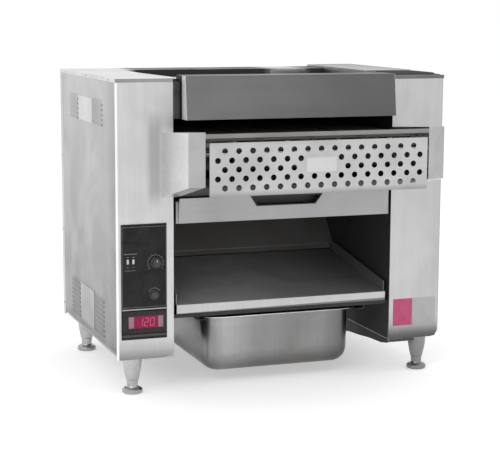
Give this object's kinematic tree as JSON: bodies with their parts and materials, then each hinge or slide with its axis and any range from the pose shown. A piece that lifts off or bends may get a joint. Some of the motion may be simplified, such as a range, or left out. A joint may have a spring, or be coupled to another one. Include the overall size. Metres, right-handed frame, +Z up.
{
  "type": "conveyor broiler",
  "caption": "Countertop conveyor broiler: sheet-steel towers carry a wire belt through a heated chamber, with front feeder, hood, discharge slide, drip drawer and grease pan.",
  "frame": {"origin": "on the surface it stands on, below the middle of the whole bounding box", "axes": "+X to the right seen from the front, +Y from the front to the back, +Z up; metres"},
  "size_m": [0.78, 0.7584, 0.697],
  "materials": {
    "cover_steel": "satin stainless steel, grain upright",
    "bright_steel": "brighter satin stainless steel",
    "chassis_steel": "plain sheet steel",
    "chamber_steel": "heat-stained sheet steel",
    "hood_steel": "darker satin stainless steel",
    "screen_steel": "heat-stained steel bars",
    "slide_steel": "worn satin stainless steel",
    "drawer_steel": "satin stainless steel",
    "pan_steel": "drawn stainless steel",
    "leg_steel": "turned steel",
    "belt_wire": "used stainless wire",
    "shaft_steel": "ground steel",
    "wheel_steel": "blackened steel",
    "bush_brass": "plain sintered brass",
    "motor_paint": "dark paint",
    "heater_sheath": "oxidised sheath",
    "ceramic_block": "off-white ceramic",
    "grip_plastic": "matt black",
    "panel_plastic": "matt black",
    "button_metal": "dark grey",
    "lens_plastic": "clear red",
    "lamp_plastic": "milky white"
  },
  "bodies": {
    "cabinet": {"tower_floors": "chassis_steel", "left_inner_wall": "chassis_steel", "right_inner_wall": "chassis_steel", "left_cover": "cover_steel", "right_cover": "cover_steel", "left_roof_cap": "bright_steel", "right_roof_cap": "bright_steel", "rear_panel": "chassis_steel", "rear_top_cover": "bright_steel", "centre_deck": "chassis_steel", "rear_heat_wall": "chamber_steel", "chamber_ceiling": "chamber_steel", "front_header": "chamber_steel", "hood": "hood_steel", "leg_bodies": "leg_steel", "left_feeder_housing": "bright_steel", "right_feeder_housing": "bright_steel", "feeder_floor": "cover_steel", "wire_belt": "belt_wire", "belt_rails": "chassis_steel", "shaft_bushes": "bush_brass", "drive_chain": "wheel_steel", "gear_motor": "motor_paint", "upper_heater": "heater_sheath", "upper_reflector": "chamber_steel", "lower_heater": "heater_sheath", "lower_reflector": "chamber_steel", "heater_terminals": "ceramic_block", "rear_chute": "chamber_steel", "slide_brackets": "chassis_steel", "drawer_runners": "chassis_steel", "pan_rails": "chassis_steel", "control_panel": "panel_plastic", "temperature_controller": "panel_plastic", "display_lens": "lens_plastic", "panel_switches": "panel_plastic", "indicator_lamps": "lamp_plastic", "fan_frame": "panel_plastic", "cable_gland": "panel_plastic"},
    "drive_train": {"drive_shaft": "shaft_steel", "drive_wheels": "wheel_steel", "driven_sprocket": "wheel_steel"},
    "idler_train": {"idler_shaft": "shaft_steel", "idler_wheels": "wheel_steel"},
    "motor_output": {"motor_sprocket": "wheel_steel"},
    "fan": {"fan_rotor": "panel_plastic"},
    "guard": {"feed_guard": "cover_steel", "guard_plate": "bright_steel"},
    "screen": {"flue_screen": "screen_steel"},
    "drawer": {"drip_drawer": "drawer_steel", "drawer_front": "drawer_steel", "drawer_grip": "grip_plastic"},
    "slide": {"discharge_slide": "slide_steel"},
    "pan": {"grease_pan": "pan_steel"},
    "button": {"start_button": "button_metal"},
    "knob": {"speed_knob": "panel_plastic"},
    "foot_front_left": {"front_left_foot": "leg_steel"},
    "foot_front_right": {"front_right_foot": "leg_steel"},
    "foot_rear_left": {"rear_left_foot": "leg_steel"},
    "foot_rear_right": {"rear_right_foot": "leg_steel"}
  },
  "joints": [
    {"name": "belt_drive", "type": "hinge", "parent": "cabinet", "child": "drive_train", "pos_m": [0, 0.24119, 0.53856], "axis": [1, 0, 0], "continuous": true},
    {"name": "idler_spin", "type": "hinge", "parent": "cabinet", "child": "idler_train", "pos_m": [0, -0.33231, 0.53856], "axis": [1, 0, 0], "continuous": true},
    {"name": "motor_spin", "type": "hinge", "parent": "cabinet", "child": "motor_output", "pos_m": [0, 0.24119, 0.42442], "axis": [1, 0, 0], "continuous": true},
    {"name": "fan_spin", "type": "hinge", "parent": "cabinet", "child": "fan", "pos_m": [-0.3245, 0.34825, 0.381], "axis": [0, 1, 0], "continuous": true},
    {"name": "guard_lift", "type": "slide", "parent": "cabinet", "child": "guard", "axis": [0, 0, 1], "range_m": [0, 0.02]},
    {"name": "screen_lift", "type": "slide", "parent": "cabinet", "child": "screen", "axis": [0, 0, 1], "range_m": [0, 0.05]},
    {"name": "drawer_pull", "type": "slide", "parent": "cabinet", "child": "drawer", "axis": [0, -1, 0], "range_m": [0, 0.3]},
    {"name": "slide_pull", "type": "slide", "parent": "cabinet", "child": "slide", "axis": [0, -1, 0], "range_m": [0, 0.28]},
    {"name": "pan_pull", "type": "slide", "parent": "cabinet", "child": "pan", "axis": [0, -1, 0], "range_m": [0, 0.3]},
    {"name": "start_push", "type": "slide", "parent": "cabinet", "child": "button", "axis": [0, 1, 0], "range_m": [0, 0.003], "stiffness_N_per_m": 400},
    {"name": "speed_turn", "type": "hinge", "parent": "cabinet", "child": "knob", "pos_m": [-0.30125, -0.17675, 0.2935], "axis": [0, -1, 0], "range_deg": [0, 270]},
    {"name": "front_left_level", "type": "slide", "parent": "cabinet", "child": "foot_front_left", "axis": [0, 0, -1], "range_m": [0, 0.015]},
    {"name": "front_right_level", "type": "slide", "parent": "cabinet", "child": "foot_front_right", "axis": [0, 0, -1], "range_m": [0, 0.015]},
    {"name": "rear_left_level", "type": "slide", "parent": "cabinet", "child": "foot_rear_left", "axis": [0, 0, -1], "range_m": [0, 0.015]},
    {"name": "rear_right_level", "type": "slide", "parent": "cabinet", "child": "foot_rear_right", "axis": [0, 0, -1], "range_m": [0, 0.015]}
  ],
  "couplings": [
    {"joint": "idler_spin", "follows": "belt_drive", "ratio": 1},
    {"joint": "motor_spin", "follows": "belt_drive", "ratio": 1.3333}
  ]
}
